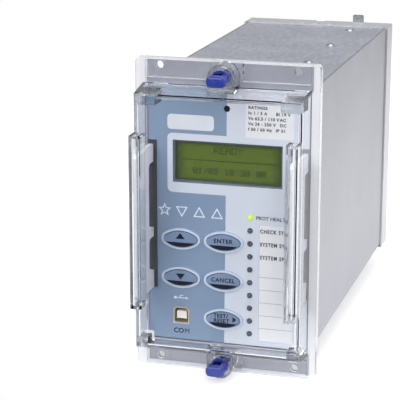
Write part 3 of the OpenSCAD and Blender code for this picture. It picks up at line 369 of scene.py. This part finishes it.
def wound_core():
    """Laminated core with a taped coil standing out of it on both faces."""
    core_x, core_half = -32.0 * MM, 5.05 * MM
    f = Finish("core_laminations", tone(96, 84, 76), 0.5)
    x, _, _ = f.axes()
    leaf = f.add("ShaderNodeTexWave", bands_direction="X")
    leaf.inputs["Scale"].default_value = 900
    leaf.inputs["Distortion"].default_value = 0.4
    f.wire(f.coords, leaf.inputs["Vector"])
    iron = f.ramp(leaf.outputs["Fac"], [(0.2, tone(70, 62, 58)), (0.8, tone(124, 114, 108))])
    weave = f.noise(300, detail=2, rough=0.5, along=(1, 1, 6))
    tape = f.ramp(weave, [(0.3, tone(176, 126, 44)), (0.7, tone(206, 158, 70))])
    out = f.maths("GREATER_THAN", f.off(x, core_x), core_half)
    f.colour(f.choose(out, iron, tape))
    f.bump(leaf.outputs["Fac"], 0.05, 0.3)
    return f.mat


def capacitor_can():
    """Dark sleeve with a bare metal end."""
    end_x = 2.9 * MM
    f = Finish("capacitor_can", tone(28, 32, 58), 0.32)
    x, _, _ = f.axes()
    skin = f.noise(400)
    sleeve = f.ramp(skin, [(0.3, tone(24, 28, 52)), (0.7, tone(34, 39, 68))])
    end = f.maths("GREATER_THAN", x, end_x)
    f.colour(f.choose(end, sleeve, tone(196, 198, 202)))
    f.rough(f.spread(skin, 0.26, 0.4))
    return f.mat


def lamp_lens(name, colour, glow):
    """A coated lamp lens, lit where it has a glow."""
    f = Finish(name, colour, 0.2)
    f.colour(f.shade(f.noise(500, detail=2), colour, 0.85, 1.1))
    f.set("Coat Weight", 0.4)
    if glow:
        f.set("Emission Color", colour)
        f.set("Emission Strength", glow)
    return f.mat


def paper_strip():
    """Matt white card with its fibres."""
    f = Finish("strip_card", tone(228, 228, 230), 0.7)
    fibre = f.noise(1800, detail=5, rough=0.7, along=(1, 1, 3))
    f.colour(f.ramp(fibre, [(0.3, tone(222, 222, 225)), (0.7, tone(233, 233, 235))]))
    f.bump(fibre, 0.03, 0.2)
    return f.mat


def ink(name, colour):
    """Dull printing ink, a little uneven."""
    f = Finish(name, colour, 0.7)
    f.set("Specular IOR Level", 0.15)
    f.colour(f.shade(f.noise(900), colour, 0.9, 1.12, 0.25, 0.75))
    return f.mat


finish = {
    "sheet": sheet_metal("galvanised_side", tone(176, 177, 184), 0.46, (1, 0.12, 1)),
    "lid": sheet_metal("galvanised_lid", tone(181, 184, 195), 0.44, (1, 0.3, 1),
                       fine=560, vary=0.24),
    "zinc": sheet_metal("zinc_plating", tone(190, 192, 196), 0.4, (0.3, 1, 1)),
    "rear": sheet_metal("rear_zinc", tone(208, 210, 214), 0.42, (0.3, 1, 1)),
    "flange": sheet_metal("flange_plate", tone(158, 160, 168), 0.62, (1, 1, 0.3), metallic=0.1),
    "cover": cover_plastic(),
    "bezel": flange_plastic(),
    "window": clear_plastic("window_clear", tone(246, 248, 246), 0.01, 40).mat,
    "handle": moulded_plastic("handle_moulding", tone(222, 224, 230), 0.36),
    # The dark pads under the handles are painted shade: a dark sheet where the notches at the
    # handles' feet lie in shade
    "pad": moulded_plastic("handle_pad", tone(52, 53, 63), 0.6),
    "terminal": moulded_plastic("terminal_black", tone(44, 45, 48), 0.5),
    "rail": moulded_plastic("rail_black", tone(52, 54, 56), 0.48),
    "connector": moulded_plastic("connector_black", tone(46, 48, 52), 0.46),
    "screw": screw_metal("screw_steel", tone(190, 192, 196), 0.3),
    "clamp": screw_metal("clamp_steel", tone(150, 151, 152), 0.22),
    "brass": screw_metal("turned_brass", tone(206, 172, 96), 0.3),
    "fascia": moulded_plastic("fascia_moulding", tone(92, 104, 124), 0.45),
    "film": printed_film(),
    "display": display_glass(),
    "lcd_frame": moulded_plastic("display_frame", tone(46, 52, 38), 0.5),
    "ring": moulded_plastic("key_ring", tone(200, 212, 230), 0.34),
    "key": moulded_plastic("key_cap", tone(122, 142, 170), 0.36),
    "mat": moulded_plastic("key_mat", tone(92, 92, 96), 0.7),
    "lamp_on": lamp_lens("lamp_green", tone(186, 226, 40), 0.55),
    "lamp_off": lamp_lens("lamp_slate", tone(70, 78, 94), 0.0),
    "strip": paper_strip(),
    "usb": screw_metal("port_shell", tone(214, 206, 190), 0.34, metallic=0.7),
    "tongue": moulded_plastic("port_tongue", tone(240, 235, 222), 0.45),
    "board": circuit_board(),
    "core": wound_core(),
    "output": moulded_plastic("output_blue", tone(66, 104, 160), 0.25),
    "capacitor": capacitor_can(),
    "pin": pin_plastic(),
    "ink_dark": ink("ink_dark", tone(24, 26, 36)),
    "ink_white": ink("ink_white", tone(226, 233, 243)),
    "ink_navy": ink("ink_navy", tone(14, 16, 40)),
    "ink_lcd": ink("ink_lcd", tone(10, 16, 2)),
    "black_screw": screw_metal("black_screw", tone(36, 36, 40), 0.4),
    "plate": moulded_plastic("plate_white", tone(216, 220, 226), 0.4),
    "label": paper_strip(),
}

worn_by = {
    "sheet": ["case_shell"], "lid": ["case_lid"],
    "rear": ["rear_panel"], "zinc": ["chassis_top_plate", "chassis_bottom_plate"],
    "flange": ["mounting_flange"],
    "cover": ["cover"], "bezel": ["flange_bezel"], "window": ["lcd_window"],
    # The handle pads carry the painted shade of the notches
    "handle": ["handle_left", "handle_right"], "pad": ["handle_pad_left", "handle_pad_right"],
    "terminal": ["terminal_block_left", "terminal_block_right"],
    "rail": ["guide_rail_top", "guide_rail_bottom"],
    "connector": ["rear_connector_left", "rear_connector_right"],
    "screw": ["terminal_screws", "terminal_block_screws", "guide_rivets", "handle_screws",
              "chassis_screws", "pin_clip_top", "pin_clip_bottom"],
    "clamp": ["earth_clamp"],
    "brass": ["earth_screw", "front_board_pillars"], "black_screw": ["fascia_screw"],
    "fascia": ["fascia"], "film": ["fascia_label"],
    "display": ["lcd_panel"], "lcd_frame": ["lcd_module"],
    "ring": ["button_rings"], "key": list(KEYS), "mat": ["keypad_mat"],
    "lamp_on": ["status_led"], "lamp_off": ["alarm_leds"], "strip": ["led_label_strip"],
    "usb": ["usb_shell"], "tongue": ["usb_tongue"],
    "board": ["front_board", "power_board", "signal_board"], "core": ["transformers"],
    "output": ["output_relays"], "capacitor": ["capacitors"], "pin": ["pin_top", "pin_bottom"],
}
for look, names in worn_by.items():
    for name in names:
        slots = nodes[name].data.materials
        if not slots:
            slots.append(finish[look])
        for i in range(len(slots)):
            slots[i] = finish[look]
# Clear pieces cast no shadow on what is behind them
for name in ("cover", "flange_bezel", "lcd_window"):
    nodes[name].visible_shadow = False


# Print and small pieces

CAPITAL_SHARE = 0.7  # height of a capital letter in the font's size


def clear_picks():
    """Leaves edit mode and picks nothing."""
    if bpy.context.object and bpy.context.object.mode != "OBJECT":
        bpy.ops.object.mode_set(mode="OBJECT")
    bpy.ops.object.select_all(action="DESELECT")


def settle(piece, name, look, body):
    """Names a finished piece, puts its place into its mesh and lets it ride on a body."""
    clear_picks()
    piece.select_set(True)
    bpy.context.view_layer.objects.active = piece
    bpy.ops.object.transform_apply(location=True, rotation=True, scale=True)
    piece.name = name
    piece.data.name = name
    piece.data.materials.clear()
    piece.data.materials.append(finish[look])
    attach(piece, body)


def join(pieces):
    """Makes one piece of several."""
    clear_picks()
    for piece in pieces:
        piece.select_set(True)
    bpy.context.view_layer.objects.active = pieces[0]
    bpy.ops.object.join()
    return bpy.context.object


def letters(words, x, z, y, height, facing=-1, bold=0.0, width=1.0, align="CENTER", apart=1.0):
    """Raised print, standing on the surface at y and facing -Y or +Y; sizes in millimetres."""
    clear_picks()
    turn = 0.0 if facing < 0 else math.pi
    place = Vector((x, y + facing * PRINT_T / 2, z)) * MM
    bpy.ops.object.text_add(location=place, rotation=(math.pi / 2, 0, turn))
    piece = bpy.context.object
    face = piece.data
    face.body = words
    face.size = height / CAPITAL_SHARE * MM
    face.align_x = align
    face.align_y = "CENTER"
    face.extrude = PRINT_T / 2 * MM
    face.offset = bold * height * MM
    face.resolution_u = 3
    face.space_character = apart
    piece.scale.x = width
    bpy.ops.object.convert(target="MESH")
    piece = bpy.context.object
    clear_picks()
    piece.select_set(True)
    bpy.context.view_layer.objects.active = piece
    bpy.ops.object.transform_apply(location=True, rotation=True, scale=True)
    return piece


def plate(x0, x1, z0, z1, y, thick, corner=0.0):
    """A thin plate on the surface at y, facing -Y, with rounded corners where a radius is given."""
    clear_picks()
    centre = Vector(((x0 + x1) / 2, y - thick / 2, (z0 + z1) / 2)) * MM
    bpy.ops.mesh.primitive_cube_add(size=1, location=centre)
    piece = bpy.context.object
    piece.scale = ((x1 - x0) * MM, thick * MM, (z1 - z0) * MM)
    bpy.ops.object.transform_apply(location=True, rotation=False, scale=True)
    if corner:
        bpy.ops.object.mode_set(mode="EDIT")
        bpy.ops.mesh.select_all(action="DESELECT")
        mesh = bmesh.from_edit_mesh(piece.data)
        for edge in mesh.edges:
            a, b = (v.co for v in edge.verts)
            edge.select_set(abs(a.y - b.y) > thick * MM / 2)
        bmesh.update_edit_mesh(piece.data)
        bpy.ops.mesh.bevel(offset=corner * MM, segments=6, affect="EDGES")
        bpy.ops.object.mode_set(mode="OBJECT")
    return piece


def stand_up(piece, x, z, y, turn):
    """Gives a flat figure its thickness and stands it on the surface at y, facing -Y."""
    bpy.ops.mesh.select_all(action="SELECT")
    bpy.ops.mesh.extrude_region_move(TRANSFORM_OT_translate={"value": (0, 0, PRINT_T * MM)})
    bpy.ops.mesh.select_all(action="SELECT")
    bpy.ops.mesh.normals_make_consistent(inside=False)
    bpy.ops.object.mode_set(mode="OBJECT")
    piece.rotation_euler = (math.pi / 2, turn, 0)
    piece.location = Vector((x, y, z)) * MM
    bpy.ops.object.transform_apply(location=True, rotation=True, scale=True)
    return piece


def outline_shape(corners, x, z, y, radius, line, turn=0.0, dent=1.0):
    """A regular figure drawn as a line: dent pulls every second corner in for a star."""
    clear_picks()
    bpy.ops.mesh.primitive_circle_add(vertices=corners, radius=radius * MM, fill_type="NGON")
    piece = bpy.context.object
    bpy.ops.object.mode_set(mode="EDIT")
    mesh = bmesh.from_edit_mesh(piece.data)
    for vert in mesh.verts:
        step = round((math.atan2(vert.co.y, vert.co.x) - math.pi / 2) / (2 * math.pi / corners))
        if step % 2:
            vert.co *= dent
    bmesh.update_edit_mesh(piece.data)
    bpy.ops.mesh.select_all(action="SELECT")
    bpy.ops.mesh.inset(thickness=line * MM, depth=0)
    bpy.ops.mesh.delete(type="FACE")
    return stand_up(piece, x, z, y, turn)


def filled_shape(corners, x, z, y, size, turn=0.0, keep_below=None):
    """A filled figure on a surface; keep_below cuts it to the part under that height."""
    clear_picks()
    bpy.ops.mesh.primitive_circle_add(vertices=corners, radius=0.5, fill_type="NGON")
    piece = bpy.context.object
    bpy.ops.object.mode_set(mode="EDIT")
    bpy.ops.mesh.select_all(action="SELECT")
    bpy.ops.transform.resize(value=(size[0] * MM, size[1] * MM, 1), center_override=(0, 0, 0))
    if keep_below is not None:
        bpy.ops.mesh.bisect(plane_co=(0, keep_below * MM, 0), plane_no=(0, 1, 0), clear_outer=True)
    return stand_up(piece, x, z, y, turn)


# The bare name plate, the rating label and the row of signs
settle(plate(-33.7, -7.2, 49.2, 57.6, FILM_Y, 0.3, corner=2.0),
       "name_plate", "plate", "element")
settle(plate(10.6, 37.4, 46.9, 66.0, FILM_Y, LABEL_T, corner=0.6),
       "rating_label", "label", "element")
rating = [letters(words, x, z, FILM_Y - LABEL_T, 1.65, align="LEFT", bold=0.05, apart=1.14)
          for words, x, z in (
              ("RATINGS", 12.0, 63.6), ("In 1 / 5 A", 12.0, 60.6), ("Vn 63.5 / 110 V", 12.0, 57.6),
              ("Vx 24 - 250 V", 12.0, 54.6), ("f 50 / 60 Hz", 12.0, 51.6), ("BI 19 V", 27.4, 60.6),
              ("AC", 29.6, 57.6), ("DC", 29.6, 54.6), ("IP 51", 27.4, 51.6))]
settle(join(rating), "rating_words", "ink_dark", "element")
signs = [
    outline_shape(10, -35.6, 3.0, FILM_Y, 4.1, 0.55, dent=0.42),
    outline_shape(3, -25.7, 3.4, FILM_Y, 4.0, 0.6, turn=math.pi),
    outline_shape(3, -15.6, 2.0, FILM_Y, 4.0, 0.6),
    outline_shape(3, -5.4, 2.0, FILM_Y, 4.0, 0.6),
]
settle(join(signs), "film_signs", "ink_white", "element")

# The port's word and sign, and the words of the lamps
port = [letters(word, x, -67.4, FILM_Y, 2.8, bold=bold)
        for word, x, bold in (("C", -29.2, 0.035), ("O", -26.2, 0.035), ("M", -22.7, 0.0))]
settle(join(port), "port_word", "ink_dark", "element")
arrow = [plate(-29.2, -23.4, -48.0, -47.6, FILM_Y, PRINT_T),
         filled_shape(3, -22.9, -47.8, FILM_Y, (1.8, 2.0), turn=math.pi / 2),
         filled_shape(20, -29.6, -47.8, FILM_Y, (1.7, 1.7)),
         plate(-27.0, -26.6, -47.8, -46.4, FILM_Y, PRINT_T),
         plate(-26.8, -25.0, -46.6, -46.2, FILM_Y, PRINT_T)]
settle(join(arrow), "port_sign", "ink_white", "element")
settle(letters("PROT HEALTHY", 16.8, LAMP_TOP, FILM_Y, 2.0, align="LEFT", bold=0.02),
       "healthy_word", "ink_dark", "element")
rows = [letters(words, STRIP_LEFT + 0.4, LAMP_TOP - (i + 1) * LAMP_PITCH, STRIP_Y, 2.1,
                align="LEFT", bold=0.045, width=0.82, apart=1.22)
        for i, words in enumerate(("CHECK SYNC", "SYSTEM SYNC", "SYSTEM SPLIT"))]
settle(join(rows), "strip_words", "ink_dark", "element")
# Rules between the strip's blank rows
rules = [plate(STRIP_LEFT + 0.2, STRIP_RIGHT - 0.2, z - 0.09, z + 0.09, STRIP_Y, FINE_T)
         for z in [LAMP_TOP - (i + 0.5) * LAMP_PITCH for i in range(4, 9)]]
settle(join(rules), "strip_rules", "lamp_off", "element")

# The display's dots: five by seven to a letter
GLYPHS = {
    "R": "11110 10001 10001 11110 10100 10010 10001",
    "E": "11111 10000 10000 11110 10000 10000 11111",
    "A": "01110 10001 10001 11111 10001 10001 10001",
    "D": "11110 10001 10001 10001 10001 10001 11110",
    "Y": "10001 10001 01010 00100 00100 00100 00100",
    "0": "01110 10001 10011 10101 11001 10001 01110",
    "1": "00100 01100 00100 00100 00100 00100 01110",
    "2": "01110 10001 00001 00110 01000 10000 11111",
    "3": "11110 00001 00001 01110 00001 00001 11110",
    ":": "00000 00100 00000 00000 00000 00100 00000",
    "/": "00001 00010 00010 00100 01000 01000 10000",
    " ": "00000 00000 00000 00000 00000 00000 00000",
}


def dot_line(words, x, z, pitch):
    """The places of the dots in one line of display letters, centred on x and z."""
    step, middle_row = 6, 3
    dots = []
    left = x - (len(words) * step - 1) * pitch / 2
    for n, letter in enumerate(words):
        for row, bits in enumerate(GLYPHS[letter].split()):
            for col, bit in enumerate(bits):
                if bit == "1":
                    dots.append((left + (n * step + col) * pitch,
                                 z - (row - middle_row) * pitch))
    return dots


def stamp(dots, size, y, thick):
    """Copies one small square dot to every place and joins the copies."""
    first = plate(-size / 2, size / 2, -size / 2, size / 2, y, thick)
    copies = []
    for x, z in dots:
        piece = first.copy()
        piece.data = first.data.copy()
        bpy.context.collection.objects.link(piece)
        piece.location = Vector((x, 0, z)) * MM
        copies.append(piece)
    bpy.data.objects.remove(first)
    return join(copies)


lit = (dot_line("READY", LCD_X, LCD_Z + 6.6, pitch=0.56)
       + dot_line("01/02 10:30:00", LCD_X + 0.6, LCD_Z - 5.2, pitch=0.5))
settle(stamp(lit, 0.49, LCD_Y, FINE_T), "display_words", "ink_lcd", "element")
settle(plate(LCD_X - 27.4, LCD_X + 27.6, LCD_Z + 0.55, LCD_Z + 0.9, LCD_Y, FINE_T),
       "display_rule", "ink_lcd", "element")

# The keys' marks: printed words and arrows, and painted shade across the bottom of each key
# The navy crescent at the bottom of each key is painted shade under its domed face
for name, (x, z) in KEYS.items():
    settle(filled_shape(64, x, z, KEY_Y, (17.8, 8.6), keep_below=-1.75),
           name + "_shade_crescent", "ink_navy", name)
for name, turn in (("button_up", 0.0), ("button_down", math.pi)):
    x, z = KEYS[name]
    settle(filled_shape(3, x, z + 1.4, KEY_Y, (6.2, 4.6), turn=turn),
           name + "_arrow", "ink_navy", name)
for name, words, height in (("button_enter", "ENTER", 2.35), ("button_cancel", "CANCEL", 2.3)):
    x, z = KEYS[name]
    settle(letters(words, x, z + 0.7, KEY_Y, height, bold=0.04, apart=1.12),
           name + "_word", "ink_navy", name)
x, z = KEYS["button_test"]
words = [letters("TEST/", x - 1.2, z + 2.25, KEY_Y, 2.2, bold=0.04, apart=1.1),
         letters("RESET", x - 0.8, z - 0.6, KEY_Y, 2.2, bold=0.04, apart=1.1),
         filled_shape(3, x + 6.4, z + 0.7, KEY_Y, (4.0, 3.0), turn=math.pi / 2)]
settle(join(words), "button_test_word", "ink_navy", "button_test")

# Terminal numbers on the rear: seen from there, odd ones run down the left column of each block
BLOCK_X, COLUMN_X = 22.7, 13.4
TERMINAL_ROWS, TERMINAL_PITCH = 14, 9.0
numbers = []
for side in (-1, 1):
    for column in (-1, 1):
        x = side * BLOCK_X + column * COLUMN_X
        for row in range(TERMINAL_ROWS):
            z = ((TERMINAL_ROWS - 1) / 2 - row) * TERMINAL_PITCH
            count = 2 * row + (1 if column > 0 else 2)
            numbers.append(letters(str(count), x, z, TERMINAL_Y, 1.7, facing=1))
settle(join(numbers), "terminal_numbers", "ink_white", "case")

# Floor, light and camera

FLOOR_GLOW = 0.30  # brings the floor up to white where it is seen
ROOM_LEVEL = 0.6   # light of the room on the surfaces

clear_picks()
bpy.ops.mesh.primitive_circle_add(vertices=96, radius=0.62, fill_type="NGON",
                                  location=(0, 0.54, FLOOR_Z * MM))
floor = bpy.context.object
floor.name = "floor"
pale = Finish("floor_pale", tone(244, 244, 245), 0.8)
speck = pale.noise(3, detail=2)
pale.colour(pale.ramp(speck, [(0.3, tone(243, 243, 244)), (0.7, tone(246, 246, 246))]))
seen = pale.add("ShaderNodeLightPath")
direct = pale.maths("MAXIMUM", seen.outputs["Is Camera Ray"], seen.outputs["Is Glossy Ray"])
direct = pale.maths("MAXIMUM", direct, seen.outputs["Is Transmission Ray"])
pale.set("Emission Color", (1, 1, 1, 1))
pale.wire(pale.maths("MULTIPLY", direct, FLOOR_GLOW), pale.bsdf.inputs["Emission Strength"])
floor.data.materials.append(pale.mat)

world = bpy.data.worlds.new("studio")
bpy.context.scene.world = world
world.use_nodes = True
tree = world.node_tree
back = tree.nodes["Background"]
path = tree.nodes.new("ShaderNodeLightPath")


def world_math(kind, a, b):
    """A sum, difference or product in the world's nodes."""
    node = tree.nodes.new("ShaderNodeMath")
    node.operation = kind
    for socket, value in zip(node.inputs, (a, b)):
        if isinstance(value, float):
            socket.default_value = value
        else:
            tree.links.new(value, socket)
    return node.outputs["Value"]


ways = tree.nodes.new("ShaderNodeSeparateXYZ")
tree.links.new(tree.nodes.new("ShaderNodeTexCoord").outputs["Generated"], ways.inputs["Vector"])


def room(axis, low, high, start, stop):
    """A room whose level goes from low to high along an axis."""
    node = tree.nodes.new("ShaderNodeMapRange")
    set_range(node, start, stop, low, high)
    tree.links.new(ways.outputs[axis], node.inputs["Value"])
    return node.outputs["Result"]


def either(mask, first, second):
    """The first level where the mask is 0 and the second where it is 1."""
    return world_math("ADD", world_math("MULTIPLY", world_math("SUBTRACT", 1.0, mask), first),
                      world_math("MULTIPLY", mask, second))


# White where it is seen, plain on the surfaces, and dim in what the front reflects or lets through
level = either(path.outputs["Is Glossy Ray"], ROOM_LEVEL, room("Y", 0.08, 0.46, -0.75, 0.35))
let_through = world_math("MULTIPLY", room("Y", 0.22, 1.0, -0.75, -0.1),
                         room("Z", 1.0, 0.4, -0.1, 0.1))
level = either(path.outputs["Is Transmission Ray"], level, let_through)
level = either(path.outputs["Is Camera Ray"], level, 1.0)
tree.links.new(level, back.inputs["Strength"])
back.inputs["Color"].default_value = (1, 1, 1, 1)


def softbox(name, place, aim, side, power):
    """A square lamp that faces a point; side in metres and power in watts."""
    lamp = bpy.data.lights.new(name, "AREA")
    lamp.shape = "RECTANGLE"
    lamp.size = lamp.size_y = side
    lamp.energy = power
    holder = bpy.data.objects.new(name, lamp)
    bpy.context.collection.objects.link(holder)
    holder.location = place
    holder.rotation_euler = (Vector(aim) - Vector(place)).to_track_quat("-Z", "Y").to_euler()


softbox("front_softbox", (-0.5, -1.2, 0.8), (0, 0.05, 0), 0.9, 9.5)
softbox("fill_softbox", (0.6, -1.2, 0.7), (0, 0.05, 0), 0.7, 6.5)
softbox("right_softbox", (1.1, 0.1, 0.5), (0, 0.1, 0), 0.8, 4.6)
softbox("top_softbox", (0.1, 0.3, 1.2), (0, 0.1, 0), 0.8, 5.5)

# The camera that was fitted to the photograph
PICTURE_PX, FOCAL_PX = 400, 1619.81
SENSOR_MM = 36
LOOK_DOWN, LOOK_LEFT = 0.2609, 0.2849
eye = bpy.data.cameras.new("camera")
eye.sensor_width = SENSOR_MM
eye.lens = FOCAL_PX * SENSOR_MM / PICTURE_PX
eye.clip_start, eye.clip_end = 0.05, 50
camera = bpy.data.objects.new("camera", eye)
bpy.context.collection.objects.link(camera)
camera.location = (0.22765, -0.83483, 0.24059)
camera.rotation_euler = (math.pi / 2 - LOOK_DOWN, 0, LOOK_LEFT)
bpy.context.scene.camera = camera
bpy.context.scene.view_settings.view_transform = "Standard"

bpy.context.view_layer.update()
